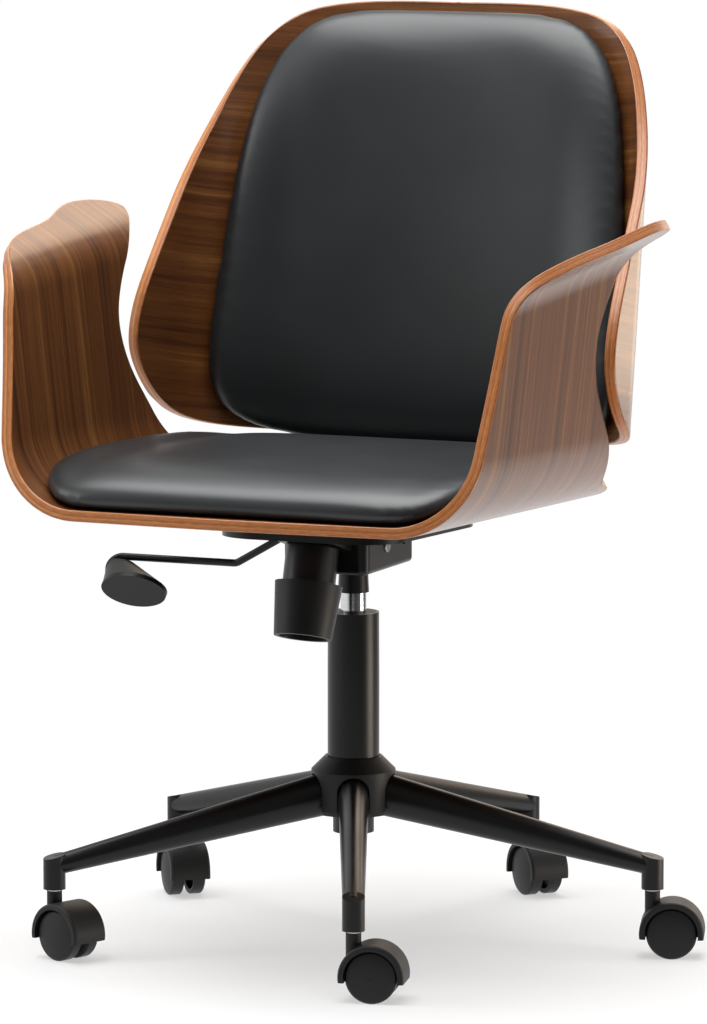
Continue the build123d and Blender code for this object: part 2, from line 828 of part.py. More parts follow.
# Back frame: tilted to the rear, local y to the rear face and local z up the back
back_sin = sin(radians(back_tilt))
back_cos = cos(radians(back_tilt))
back_frame = Plane((0, 0, back_z), (1, 0, 0), (0, back_sin, back_cos))
back_turn = degrees(asin(back_flat / back_sweep))


def rear_plane(depth, height):
    """Plane facing the rear in the back frame, local x to the chair's left."""
    return Plane(back_frame.from_local_coords((0, depth, height)), (1, 0, 0), (0, back_cos, -back_sin))


def back_path(inset):
    """Half section of the back: sweep, bend and wing, moved forward by the inset."""
    sweep_arc = JernArc((0, back_y - inset), (1, 0), back_sweep - inset, -back_turn)
    bend = JernArc(sweep_arc @ 1, sweep_arc % 1, back_bend - inset, back_turn - back_bend_end)
    wing = PolarLine(bend @ 1, wing_length, direction=bend % 1)
    return sweep_arc @ 0, wing @ 1


# Back shell: plywood bent forward into wings, cut to the wing outline
wing_sin = sin(radians(back_trim))
wing_cos = cos(radians(back_trim))
cut_normal = Vector(-wing_sin, -wing_cos * back_cos, wing_cos * back_sin)
cut_across = Vector(wing_cos, -wing_sin * back_cos, wing_sin * back_sin)
middle_edge = -wing_sin * back_y
with BuildPart() as back_shell:
    with BuildSketch(back_frame.offset(back_bottom - 2 * ply)):
        with BuildLine():
            rear_start, rear_end = back_path(0)
            face_start, face_end = back_path(ply)
            Line(rear_start, face_start)
            Line(rear_end, face_end)
        make_face()
    extrude(amount=back_top - back_bottom + 4 * ply)
    with BuildSketch(Plane(back_frame.origin, cut_across, cut_normal)):
        with BuildLine():
            wing_outline = Spline(
                (middle_edge + 32, back_top),
                (middle_edge + 84, back_top - 12),
                (middle_edge + 122, back_top - 48),
                (middle_edge + 166, back_top - 123),
                (middle_edge + 216, back_top - 210),
                (middle_edge + 260, back_top - 290),
                (middle_edge + 281, back_bottom + 106),
                (middle_edge + 282, back_bottom + 72),
                (middle_edge + 260, back_bottom + 41),
                (middle_edge + 218, back_bottom + 15),
                (middle_edge + 158, back_bottom + 2),
                (middle_edge + 98, back_bottom),
                tangents=((1, 0), (-1, 0)),
            )
            Polyline(
                wing_outline @ 1,
                (middle_edge - back_flat, back_bottom),
                (middle_edge - back_flat, back_top),
                wing_outline @ 0,
            )
        make_face()
    extrude(amount=2 * back_flat + back_y, both=True, mode=Mode.INTERSECT)
    mirror(about=Plane.YZ)
    for height in (back_bolt_low, back_bolt_high):
        with BuildSketch(rear_plane(back_y + ply, height)):
            with GridLocations(2 * back_bolt_x, 1, 2, 1):
                Circle(fixing_diameter / 2 + fix_gap)
        extrude(amount=-ply - fixing_reach - free_gap, mode=Mode.SUBTRACT)
write(back_shell, "back_shell")

# Back bracket: flat steel bar from under the seat, bent up behind the back
bar_middle = bracket_thickness / 2
spacer_rear = back_y + free_gap + spacer_thickness
back_line_y = spacer_rear + bar_middle
bar_top = back_frame.from_local_coords((0, back_line_y, bracket_top))
bar_foot = under_plane(bar_middle).from_local_coords((0, bracket_front, 0))
foot_direction = Vector(0, tilt_cos, -tilt_sin)
back_direction = Vector(0, back_sin, back_cos)
span = bar_top - bar_foot
turn_cross = foot_direction.Y * back_direction.Z - foot_direction.Z * back_direction.Y
foot_run = (span.Y * back_direction.Z - span.Z * back_direction.Y) / turn_cross
bar_corner = bar_foot + foot_direction * foot_run
with BuildPart() as back_bracket:
    with BuildLine():
        FilletPolyline(bar_foot, bar_corner, bar_top, radius=bracket_bend)
    with BuildSketch(Plane(bar_foot, (1, 0, 0), foot_direction)):
        Rectangle(bracket_width, bracket_thickness)
    sweep()
    for height in (back_bolt_low, back_bolt_high):
        with BuildSketch(rear_plane(back_y, height)):
            with GridLocations(2 * back_bolt_x, 1, 2, 1):
                Circle(fixing_diameter / 2 + fix_gap)
        extrude(amount=spacer_thickness + 2 * bracket_thickness, mode=Mode.SUBTRACT)
write(back_bracket, "back_bracket")

# Back spacer: moulded block between the bracket and the back
with BuildPart() as back_spacer:
    with BuildSketch(rear_plane(back_y + free_gap, (back_bolt_low + back_bolt_high) / 2)):
        RectangleRounded(spacer_width, spacer_height, bracket_thickness)
    extrude(amount=spacer_thickness)
    for height in (back_bolt_low, back_bolt_high):
        with BuildSketch(rear_plane(back_y, height)):
            with GridLocations(2 * back_bolt_x, 1, 2, 1):
                Circle(fixing_diameter / 2 + fix_gap)
        extrude(amount=2 * spacer_thickness, mode=Mode.SUBTRACT)
write(back_spacer, "back_spacer")

# Back bolts: four, through the bracket into the plywood
with BuildPart() as back_bolts:
    for height in (back_bolt_low, back_bolt_high):
        with BuildSketch(rear_plane(back_y - fixing_reach, height)):
            with GridLocations(2 * back_bolt_x, 1, 2, 1):
                Circle(fixing_diameter / 2)
        extrude(amount=fixing_reach + spacer_rear - back_y + bracket_thickness)
        with BuildSketch(rear_plane(spacer_rear + bracket_thickness, height)):
            with GridLocations(2 * back_bolt_x, 1, 2, 1):
                Circle(fixing_head_diameter / 2)
        extrude(amount=fixing_head_height)
write(back_bolts, "back_bolts")


def crown(share, power):
    """Rise of a cushion from its ends (share -1 and 1) to its middle (0)."""
    return (1 - abs(share) ** power) ** (1 / power)


# Seat cushion: crowned pad that fills the bend of the seat, drawn in at both ends
cushion_shares = (-1, -0.985, -0.95, -0.88, -0.75, -0.5, -0.2, 0.2, 0.5, 0.75, 0.88, 0.95, 0.985, 1)
end_share = 0.995
flat_share = 0.8
seat_cushion_middle = (seat_cushion_front + seat_cushion_rear) / 2
seat_cushion_half = (seat_cushion_rear - seat_cushion_front) / 2
inner_bend = seat_bend - ply - cushion_gap
with BuildPart() as seat_cushion:
    for share in cushion_shares:
        y = seat_cushion_middle + seat_cushion_half * share
        fill = crown(share * end_share, 8)
        half_width = (seat_cushion_half_width - seat_cushion_taper * abs(share) ** 3) * fill
        flat_end = min(seat_flat, flat_share * half_width)
        base = seat_under(y) + ply + cushion_gap
        side_turn = degrees(asin((half_width - flat_end) / inner_bend))
        rise = seat_cushion_edge * fill
        with BuildSketch(Plane.XZ.offset(-y)):
            with BuildLine():
                flat = Line((-flat_end, base), (flat_end, base))
                right = JernArc(flat @ 1, (1, 0), inner_bend, side_turn)
                left = JernArc(flat @ 0, (-1, 0), inner_bend, -side_turn)
                brow = right @ 1 + Vector(-rise / 2, rise)
                far_brow = Vector(-brow.X, brow.Y)
                ThreePointArc(right @ 1, right @ 1 + Vector(rise / 12, rise / 2), brow)
                ThreePointArc(brow, (0, base + seat_cushion_height * fill), far_brow)
                ThreePointArc(far_brow, left @ 1 + Vector(-rise / 12, rise / 2), left @ 1)
            make_face()
    loft(ruled=True)
write(seat_cushion, "seat_cushion")

# Back cushion: crowned pad on the face of the back, drawn in at its top and foot
face_y = back_y - ply - cushion_gap
face_sweep = back_sweep - ply - cushion_gap
face_bend = back_bend - ply - cushion_gap
back_cushion_middle = (back_cushion_top + back_cushion_bottom) / 2
back_cushion_half = (back_cushion_top - back_cushion_bottom) / 2
with BuildPart() as back_cushion:
    for share in cushion_shares:
        height = back_cushion_middle + back_cushion_half * share
        fill = crown(share * end_share, 6)
        half_width = (back_cushion_half_width - back_cushion_taper * max(0, share + 0.4) ** 2) * fill
        flat_turn = min(back_turn, degrees(asin(flat_share * half_width / face_sweep)))
        bend_middle = (face_sweep - face_bend) * sin(radians(flat_turn))
        side_turn = degrees(asin((half_width - bend_middle) / face_bend)) - flat_turn
        rise = back_cushion_edge * fill
        with BuildSketch(back_frame.offset(height)):
            with BuildLine():
                rear_right = JernArc((0, face_y), (1, 0), face_sweep, -flat_turn)
                rear_left = JernArc((0, face_y), (-1, 0), face_sweep, flat_turn)
                right = JernArc(rear_right @ 1, rear_right % 1, face_bend, -side_turn)
                left = JernArc(rear_left @ 1, rear_left % 1, face_bend, side_turn)
                brow = right @ 1 + Vector(-rise / 2, -rise)
                far_brow = Vector(-brow.X, brow.Y)
                ThreePointArc(right @ 1, right @ 1 + Vector(rise / 12, -rise / 2), brow)
                ThreePointArc(brow, (0, face_y - back_cushion_thickness * fill), far_brow)
                ThreePointArc(far_brow, left @ 1 + Vector(-rise / 12, -rise / 2), left @ 1)
            make_face()
    loft(ruled=True)
write(back_cushion, "back_cushion")

# Casters: stem in the leg, hood that swivels on it, and two wheels on one axle
wheel_radius = wheel_diameter / 2
caster_axle_radius = caster_axle_diameter / 2
hood_inner = wheel_radius + hood_clear
wheel_inner_face = wheel_gap / 2
wheel_outer_face = wheel_inner_face + wheel_width
dome_edge = wheel_radius - wheel_dome / 2
dome_radius = (dome_edge**2 + wheel_dome**2) / (2 * wheel_dome)
for index in range(leg_count):
    leg = radians(leg_angle(index))
    turn = radians(caster_turns[index])
    spot = Vector(leg_reach * cos(leg), leg_reach * sin(leg), 0)
    trail = Vector(cos(turn), sin(turn), 0)
    sideways = Vector(-sin(turn), cos(turn), 0)
    axle_spot = spot + trail * caster_trail + Vector(0, 0, wheel_radius)
    number = index + 1

    with BuildPart() as caster_stem:
        with BuildSketch(Plane(spot + Vector(0, 0, stem_foot))):
            Circle(stem_radius)
        extrude(amount=socket_bottom + stem_hole_depth - free_gap - stem_foot)
        with BuildSketch(Plane(spot + Vector(0, 0, hood_neck_top + free_gap))):
            Circle(stem_collar_diameter / 2)
        extrude(amount=socket_bottom - hood_neck_top - free_gap)
    write(caster_stem, f"caster_stem_{number}")

    with BuildPart() as caster_hood:
        side_plane = Plane(axle_spot, trail, -sideways)
        with BuildSketch(side_plane.offset(-hood_width / 2)):
            Circle(hood_radius)
            Circle(hood_inner, mode=Mode.SUBTRACT)
            with Locations((0, -hood_drop)):
                Rectangle(3 * hood_radius, hood_radius, align=(Align.CENTER, Align.MAX), mode=Mode.SUBTRACT)
        extrude(amount=hood_width)
        outer_rims = caster_hood.edges().filter_by(GeomType.CIRCLE)
        fillet(outer_rims.filter_by(lambda rim: rim.radius > hood_inner + 1), (hood_radius - hood_inner) / 2)
        with BuildSketch(side_plane.offset(-hood_web / 2)):
            Circle(hood_inner + 1)
            with Locations((0, -hood_drop)):
                Rectangle(3 * hood_radius, hood_radius, align=(Align.CENTER, Align.MAX), mode=Mode.SUBTRACT)
        extrude(amount=hood_web)
        with BuildSketch(Plane(spot + Vector(0, 0, wheel_radius))):
            Circle(hood_neck_diameter / 2)
        extrude(amount=hood_neck_top - wheel_radius)
        for side in (1, -1):
            inner = axle_spot + sideways * (side * hood_web / 2)
            with BuildSketch(Plane(inner, trail, sideways * side)):
                Circle(hood_inner)
            extrude(amount=(hood_width - hood_web) / 2, mode=Mode.SUBTRACT)
        with BuildSketch(Plane(spot + Vector(0, 0, stem_foot))):
            Circle(stem_radius + run_gap)
        extrude(amount=hood_neck_top - stem_foot, mode=Mode.SUBTRACT)
        with BuildSketch(side_plane.offset(-hood_width)):
            Circle(caster_axle_radius + fix_gap)
        extrude(amount=2 * hood_width, mode=Mode.SUBTRACT)
    write(caster_hood, f"caster_hood_{number}")

    axle_half = wheel_outer_face - wheel_dome - 1
    with BuildPart() as caster_axle:
        with BuildSketch(Plane(axle_spot - sideways * axle_half, trail, sideways)):
            Circle(caster_axle_radius)
        extrude(amount=2 * axle_half)
    write(caster_axle, f"caster_axle_{number}")

    for side, name in ((1, "a"), (-1, "b")):
        outward = sideways * side
        with BuildPart() as caster_wheel:
            with BuildSketch(Plane(axle_spot, trail, trail.cross(outward))):
                with BuildLine():
                    hub_radius = wheel_hub_diameter / 2
                    web = wheel_outer_face - wheel_dome
                    bore = caster_axle_radius + run_gap
                    profile = Polyline(
                        (0, wheel_outer_face),
                        (0, web - free_gap),
                        (bore, web - free_gap),
                        (bore, wheel_inner_face),
                        (hub_radius, wheel_inner_face),
                        (hub_radius, web - 2 * wheel_dome),
                        (wheel_radius - wheel_rim, web - 2 * wheel_dome),
                        (wheel_radius - wheel_rim, wheel_inner_face + 1),
                        (wheel_radius - 1, wheel_inner_face),
                        (wheel_radius, wheel_inner_face + 1),
                        (wheel_radius, web - wheel_dome / 2),
                        (dome_edge, web),
                    )
                    JernArc(profile @ 0, (1, 0), dome_radius, -degrees(asin(dome_edge / dome_radius)))
                make_face()
            revolve(axis=Axis(axle_spot, outward))
        write(caster_wheel, f"caster_wheel_{number}{name}")
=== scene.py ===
# %% [markdown]
# # Swivel desk chair
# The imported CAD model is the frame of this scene: its pieces keep their place and take better
# finishes. The two bent plywood shells and the two cushions are new surfaces worked out with
# numpy, because veneer grain has to follow the bend and padding has to look soft.

# %% Load the frame
import json
from math import radians

import bmesh
import bpy
import numpy as np
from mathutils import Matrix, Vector


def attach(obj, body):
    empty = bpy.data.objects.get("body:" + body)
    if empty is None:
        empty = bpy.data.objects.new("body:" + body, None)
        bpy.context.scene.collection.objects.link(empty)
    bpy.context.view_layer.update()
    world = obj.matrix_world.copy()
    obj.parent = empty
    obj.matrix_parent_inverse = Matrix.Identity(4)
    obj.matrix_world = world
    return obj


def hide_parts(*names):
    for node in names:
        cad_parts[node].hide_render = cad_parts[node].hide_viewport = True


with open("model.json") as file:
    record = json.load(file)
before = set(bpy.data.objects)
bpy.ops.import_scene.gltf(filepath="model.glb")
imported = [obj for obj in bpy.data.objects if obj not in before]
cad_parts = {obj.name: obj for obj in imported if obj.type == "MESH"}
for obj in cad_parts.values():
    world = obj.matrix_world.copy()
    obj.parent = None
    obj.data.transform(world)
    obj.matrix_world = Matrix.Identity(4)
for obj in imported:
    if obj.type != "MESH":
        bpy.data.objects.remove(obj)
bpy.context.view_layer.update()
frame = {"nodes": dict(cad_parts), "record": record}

# %% [markdown]
# ## Camera
# The photograph was taken from far away with a long lens, a little above the seat and to the
# chair's left. A long lens keeps the verticals nearly parallel, so the camera stands 6.4 m off.

# %% Camera
VIEW_TURN = 23.0      # degrees round the column from the chair's front
VIEW_PITCH = 7.46     # degrees down
VIEW_REACH = 6.4417   # metres over the floor
VIEW_HEIGHT = 1.272

camera_data = bpy.data.cameras.new("photo_camera")
camera_data.lens = 230.44
camera_data.sensor_width = 36.0
camera_data.clip_end = 100.0
camera = bpy.data.objects.new("photo_camera", camera_data)
turn = radians(VIEW_TURN)
camera.location = (VIEW_REACH * np.sin(turn), -VIEW_REACH * np.cos(turn), VIEW_HEIGHT)
camera.rotation_euler = (radians(90 - VIEW_PITCH), 0, turn)
bpy.context.collection.objects.link(camera)
bpy.context.scene.camera = camera
bpy.context.scene.view_settings.view_transform = "Standard"
print("camera at", tuple(round(v, 3) for v in camera.location))

# %% [markdown]
# ## Small helpers
# Colours are written as sRGB hex values, as a paint chart gives them, and turned to the linear
# values that shaders use. One function adds a shader node with its settings and links.


# %% Colour and node helpers
def linear(hex_colour):
    """sRGB hex to linear RGBA: c / 12.92 below 0.04045, else ((c + 0.055) / 1.055) ** 2.4."""
    srgb = np.array([int(hex_colour[i:i + 2], 16) for i in (1, 3, 5)]) / 255
    rgb = np.where(srgb <= 0.04045, srgb / 12.92, ((srgb + 0.055) / 1.055) ** 2.4)
    return (*map(float, rgb), 1.0)


def add(tree, kind, inputs=None, stops=(), **settings):
    """Add a node of a kind: set its properties, set or link its inputs by name or number, place a
    ramp's (position, hex colour) stops."""
    node = tree.nodes.new(kind)
    for key, value in settings.items():
        setattr(node, key, value)
    for key, value in (inputs or {}).items():
        if isinstance(value, bpy.types.Node):
            value = value.outputs[0]
        if isinstance(value, bpy.types.NodeSocket):
            tree.links.new(value, node.inputs[key])
        else:
            node.inputs[key].default_value = value
    for number, (position, colour) in enumerate(stops):
        elements = node.color_ramp.elements
        element = elements[number] if number < 2 else elements.new(position)
        element.position, element.color = position, linear(colour)
    return node


def new_material(name):
    """An empty node material with its output; returns the material, its tree and its output."""
    material = bpy.data.materials.new(name)
    material.use_nodes = True
    tree = material.node_tree
    tree.nodes.clear()
    return material, tree, add(tree, "ShaderNodeOutputMaterial")


# %% [markdown]
# ## Walnut veneer
# Sliced walnut veneer under a satin lacquer: long fibres in bands 18 mm wide, streaks 6 mm and 2 mm
# wide, and short open pores. The pattern reads the piece's own "grain" map, which is in metres
# along and across the fibres, so it bends with the sheet. The lacquer is a clear coat, which turns
# pale where the sheet is seen almost edge on.


# %% Walnut veneer
def walnut():
    material, tree, out = new_material("walnut_veneer")
    grain = add(tree, "ShaderNodeUVMap", uv_map="grain").outputs["UV"]
    layers = []
    for along, width, detail, rough, twist in (          # per metre along, width in metres across
            (1.1, 0.018, 2.0, 0.5, 0.5), (2.6, 0.006, 3.0, 0.6, 0.0),
            (9.0, 0.002, 3.0, 0.6, 0.0), (1 / 0.018, 0.0007, 1.0, 0.5, 0.0)):
        spot = add(tree, "ShaderNodeMapping", {"Vector": grain, "Scale": (along, 1 / width, 1.0)})
        layers.append(add(tree, "ShaderNodeTexNoise", {
            "Vector": spot, "Scale": 1.0, "Detail": detail, "Roughness": rough, "Distortion": twist}))
    bands, streaks, fibres, pores = layers
    wide = add(tree, "ShaderNodeMath", {0: bands, 1: 0.38}, operation="MULTIPLY")
    middling = add(tree, "ShaderNodeMath", {0: streaks, 1: 0.37, 2: wide}, operation="MULTIPLY_ADD")
    figure = add(tree, "ShaderNodeMath", {0: fibres, 1: 0.25, 2: middling}, operation="MULTIPLY_ADD")
    colour = add(tree, "ShaderNodeValToRGB", {0: figure},
                 stops=[(0.36, "#41230f"), (0.45, "#5c3415"), (0.54, "#6f421e"), (0.66, "#90632f")])
    open_pore = add(tree, "ShaderNodeMapRange", {0: pores, 1: 0.60, 2: 0.72, 3: 1.0, 4: 0.70})
    shade = add(tree, "ShaderNodeMix", {0: 1.0, 6: colour, 7: open_pore},
                data_type="RGBA", blend_type="MULTIPLY")
    gloss = add(tree, "ShaderNodeMapRange", {0: fibres, 3: 0.46, 4: 0.60})
    bump = add(tree, "ShaderNodeBump", {"Height": fibres, "Strength": 0.08, "Distance": 0.0003})
    body = add(tree, "ShaderNodeBsdfPrincipled", {
        "Base Color": shade.outputs[2], "Roughness": gloss, "Normal": bump, "Specular IOR Level": 0.2,
        "Coat Weight": 0.9, "Coat Roughness": 0.20, "Coat IOR": 1.3})
    tree.links.new(body.outputs[0], out.inputs["Surface"])
    return material


# %% [markdown]
# ## Plywood edge
# Cut and sanded plywood shows its veneers as thin stripes, about 1.4 mm each, alternately along
# and across the grain, under an orange-brown lacquer. On the rim the second map coordinate runs
# across the thickness.


# %% Plywood edge
def ply_edge():
    material, tree, out = new_material("lacquered_ply_edge")
    grain = add(tree, "ShaderNodeUVMap", uv_map="grain").outputs["UV"]
    stripe_map = add(tree, "ShaderNodeMapping", {"Vector": grain, "Scale": (0.8, 1 / 0.0028, 1.0)})
    stripes = add(tree, "ShaderNodeTexNoise", {"Vector": stripe_map, "Scale": 1.0, "Detail": 1.0})
    fibre_map = add(tree, "ShaderNodeMapping", {"Vector": grain, "Scale": (1 / 0.009, 1 / 0.001, 1.0)})
    fibres = add(tree, "ShaderNodeTexNoise", {"Vector": fibre_map, "Scale": 1.0, "Detail": 3.0})
    layered = add(tree, "ShaderNodeMath", {0: stripes, 1: 0.65}, operation="MULTIPLY")
    both = add(tree, "ShaderNodeMath", {0: fibres, 1: 0.35, 2: layered}, operation="MULTIPLY_ADD")
    colour = add(tree, "ShaderNodeValToRGB", {0: both},
                 stops=[(0.36, "#88491a"), (0.50, "#a86530"), (0.64, "#c2844c")])
    body = add(tree, "ShaderNodeBsdfPrincipled", {
        "Base Color": colour, "Roughness": 0.42,
        "Coat Weight": 0.5, "Coat Roughness": 0.25, "Coat IOR": 1.3})
    tree.links.new(body.outputs[0], out.inputs["Surface"])
    return material


# %% [markdown]
# ## Leatherette
# Coated fabric with a calendered hide grain: cells about 1.2 mm across with soft valleys, near
# black, and a broad soft sheen. The grain is drawn from Object coordinates, so it needs no map.


# %% Leatherette
def leatherette():
    material, tree, out = new_material("black_leatherette")
    place = add(tree, "ShaderNodeTexCoord").outputs["Object"]
    cells = add(tree, "ShaderNodeTexVoronoi", {"Vector": place, "Scale": 1 / 0.0012}, feature="SMOOTH_F1")
    slow = add(tree, "ShaderNodeTexNoise", {"Vector": place, "Scale": 1 / 0.11, "Detail": 2.0})
    colour = add(tree, "ShaderNodeValToRGB", {0: slow}, stops=[(0.3, "#1a1d1f"), (0.7, "#202426")])
    gloss = add(tree, "ShaderNodeMapRange", {0: slow, 3: 0.35, 4: 0.43})
    bump = add(tree, "ShaderNodeBump", {"Height": cells, "Strength": 0.10, "Distance": 0.0003})
    body = add(tree, "ShaderNodeBsdfPrincipled", {"Base Color": colour, "Roughness": gloss, "Normal": bump,
                                                  "Specular IOR Level": 0.6})
    tree.links.new(body.outputs[0], out.inputs["Surface"])
    return material


# %% [markdown]
# ## Black metal, plastics and bright metal
# Powder coat is a baked skin with a faint orange-peel ripple about 1.5 mm long. Moulded plastic
# is duller, with a fine spark-eroded grain. Chrome and steel are plain metals with light wear.


# %% Hard finishes
def coated(name, colour, rough, ripple_mm, depth):
    """A dark coated or moulded surface with ripples of a real length in millimetres."""
    material, tree, out = new_material(name)
    place = add(tree, "ShaderNodeTexCoord").outputs["Object"]
    ripple = add(tree, "ShaderNodeTexNoise", {"Vector": place, "Scale": 1000.0 / ripple_mm, "Detail": 2.0})
    patches = add(tree, "ShaderNodeTexNoise", {"Vector": place, "Scale": 1 / 0.07, "Detail": 2.0})
    shade = add(tree, "ShaderNodeValToRGB", {0: patches}, stops=[(0.3, colour[0]), (0.7, colour[1])])
    gloss = add(tree, "ShaderNodeMapRange", {0: patches, 3: rough - 0.04, 4: rough + 0.06})
    bump = add(tree, "ShaderNodeBump", {"Height": ripple, "Strength": depth, "Distance": 0.0003})
    body = add(tree, "ShaderNodeBsdfPrincipled", {"Base Color": shade, "Roughness": gloss, "Normal": bump,
                                                  "Specular IOR Level": 0.3})
    tree.links.new(body.outputs[0], out.inputs["Surface"])
    return material


def bright(name, colour, rough, brush_mm):
    """A bare metal with fine turning marks of a real width in millimetres."""
    material, tree, out = new_material(name)
    place = add(tree, "ShaderNodeTexCoord").outputs["Object"]
    along = add(tree, "ShaderNodeMapping", {"Vector": place, "Scale": (20.0, 20.0, 1000.0 / brush_mm)})
    marks = add(tree, "ShaderNodeTexNoise", {"Vector": along, "Scale": 1.0, "Detail": 2.0})
    gloss = add(tree, "ShaderNodeMapRange", {0: marks, 3: rough - 0.04, 4: rough + 0.08})
    shade = add(tree, "ShaderNodeValToRGB", {0: marks}, stops=[(0.3, colour[0]), (0.7, colour[1])])
    body = add(tree, "ShaderNodeBsdfPrincipled", {"Base Color": shade, "Metallic": 1.0, "Roughness": gloss})
    tree.links.new(body.outputs[0], out.inputs["Surface"])
    return material


finishes = {
    "walnut_ply": walnut(),
    "leatherette": leatherette(),
    "black_paint": coated("black_powder_coat", ("#090909", "#0d0d0d"), 0.32, 1.5, 0.05),
    "black_plastic": coated("moulded_nylon", ("#0d0d0d", "#111111"), 0.44, 0.8, 0.10),
    "caster_plastic": coated("moulded_caster_nylon", ("#151515", "#1a1a1a"), 0.50, 0.8, 0.08),
    "chrome": bright("hard_chrome", ("#c9cacc", "#d6d7d9"), 0.10, 0.8),
    "steel": bright("plain_steel", ("#8d8f92", "#a3a5a8"), 0.30, 0.6),
}
edge_finish = ply_edge()
print("finishes", sorted(finishes))

# %% [markdown]
# ## Sheets with a cut outline
# A bent plywood shell is a flat sheet rolled into a profile and cut to an outline. Its middle
# surface is a patch whose four sides follow that outline (a Coons patch), and the thickness is
# added on both sides with a sanded quarter-round along the rim.

# %% Curves and patches
PLY = 0.011
EASE = 0.0016         # radius of the sanded rim


def smooth_curve(points, count):
    """Points spaced evenly along a natural cubic spline through the given points (chord lengths)."""
    points = np.array(points, float)
    knots = np.r_[0, np.cumsum(np.linalg.norm(np.diff(points, axis=0), axis=1))]
    step = np.diff(knots)
    size = len(points)
    system = np.eye(size)
    right = np.zeros_like(points)
    rows = np.arange(1, size - 1)
    system[rows, rows - 1] = step[:-1]
    system[rows, rows] = 2 * (step[:-1] + step[1:])
    system[rows, rows + 1] = step[1:]
    slopes = np.diff(points, axis=0) / step[:, None]
    right[1:-1] = 6 * np.diff(slopes, axis=0)
    bend = np.linalg.solve(system, right)
    at = np.linspace(0, knots[-1], 2000)
    k = np.clip(np.searchsorted(knots, at, side="right") - 1, 0, size - 2)
    a, b, h = at - knots[k], knots[k + 1] - at, step[k]
    curve = ((bend[k].T * b**3 + bend[k + 1].T * a**3) / (6 * h)
             + (points[k] / h[:, None] - bend[k] * h[:, None] / 6).T * b
             + (points[k + 1] / h[:, None] - bend[k + 1] * h[:, None] / 6).T * a).T
    return even(curve, count)


def even(curve, count):
    """The same polyline with evenly spaced points."""
    run = np.r_[0, np.cumsum(np.linalg.norm(np.diff(curve, axis=0), axis=1))]
    at = np.linspace(0, run[-1], count)
    return np.stack([np.interp(at, run, curve[:, i]) for i in range(curve.shape[1])], 1)


def coons(near, far, first, last):
    """Coons patch: blend of two opposite pairs of sides, minus the bilinear blend of the corners."""
    u = np.linspace(0, 1, near.shape[0])[:, None, None]
    v = np.linspace(0, 1, first.shape[0])[None, :, None]
    sides = (1 - v) * near[:, None] + v * far[:, None] + (1 - u) * first[None] + u * last[None]
    corners = ((1 - u) * (1 - v) * near[0] + u * (1 - v) * near[-1] + (1 - u) * v * far[0] + u * v * far[-1])
    return sides - corners


def unit(vectors):
    return vectors / np.maximum(np.linalg.norm(vectors, axis=-1, keepdims=True), 1e-12)


def thick_sheet(name, middle, normal, grain):
    """Closed sheet from a grid of middle points and normals: both faces half the thickness away,
    joined by a rim that is a quarter circle, a flat and a quarter circle."""
    rows, cols = middle.shape[:2]
    index = np.arange(rows * cols).reshape(rows, cols)
    loop = np.r_[index[:-1, 0], index[-1, :-1], index[:0:-1, -1], index[0, :0:-1]]
    flat_middle, flat_normal = middle.reshape(-1, 3), normal.reshape(-1, 3)
    ring, ring_normal = flat_middle[loop], flat_normal[loop]
    along = unit(np.roll(ring, -1, 0) - np.roll(ring, 1, 0))
    outward = unit(np.cross(along, ring_normal))
    from_middle = ring - middle[rows // 2, cols // 2]
    outward *= np.sign(np.sum(outward * from_middle, 1).mean())
    half = PLY / 2
    front = flat_middle + flat_normal * half
    rear = flat_middle - flat_normal * half
    front[loop] -= outward * EASE
    rear[loop] -= outward * EASE
    angle = np.radians([60, 30, 0, 0, -30, -60])
    lift = np.where(np.arange(6) < 3, half - EASE, EASE - half) + EASE * np.sin(angle)
    reach = EASE * (np.cos(angle) - 1)
    rim = ring[None] + outward[None] * reach[:, None, None] + ring_normal[None] * lift[:, None, None]
    size = rows * cols
    points = np.concatenate([front, rear, rim.reshape(-1, 3)])
    quad = np.stack([index[:-1, :-1], index[1:, :-1], index[1:, 1:], index[:-1, 1:]], -1).reshape(-1, 4)
    count = len(loop)
    around = np.arange(count)
    step = np.roll(around, -1)
    rim_lines = 2 * size + np.arange(6)[:, None] * count + around[None]
    lines = np.concatenate([loop[None], rim_lines, size + loop[None]])
    strip = np.stack([lines[:-1], lines[:-1][:, step], lines[1:][:, step], lines[1:]], -1).reshape(-1, 4)
    faces = np.concatenate([quad, quad[:, ::-1] + size, strip])
    run = np.r_[0, np.cumsum(np.linalg.norm(np.roll(ring, -1, 0) - ring, axis=1))]
    level = np.r_[half, lift, -half]
    strip_uv = np.stack(np.broadcast_arrays(
        np.stack([run[:-1], run[1:], run[1:], run[:-1]], -1)[None],
        np.stack([level[:-1], level[:-1], level[1:], level[1:]], -1)[:, None]), -1).reshape(-1, 4, 2)
    flat_grain = grain.reshape(-1, 2)
    uv = np.concatenate([flat_grain[quad], flat_grain[quad[:, ::-1]], strip_uv])
    slots = np.r_[np.zeros(2 * len(quad), int), np.ones(len(strip), int)]
    mesh = bpy.data.meshes.new(name)
    mesh.from_pydata(points.tolist(), [], faces.tolist())
    mesh.uv_layers.new(name="grain").data.foreach_set("uv", uv.reshape(-1).astype(np.float32))
    mesh.polygons.foreach_set("material_index", slots.astype(np.int32))
    mesh.polygons.foreach_set("use_smooth", np.ones(len(faces), bool))
    mesh.materials.append(finishes["walnut_ply"])
    mesh.materials.append(edge_finish)
    fix_normals(mesh)
    piece = bpy.data.objects.new(name, mesh)
    bpy.context.collection.objects.link(piece)
    weighted = piece.modifiers.new("weighted", "WEIGHTED_NORMAL")
    weighted.keep_sharp = True
    print(name, len(points), "points")
    return piece


def fix_normals(mesh):
    """Turn every face outwards."""
    work = bmesh.new()
    work.from_mesh(mesh)
    bmesh.ops.recalc_face_normals(work, faces=work.faces)
    work.to_mesh(mesh)
    work.free()


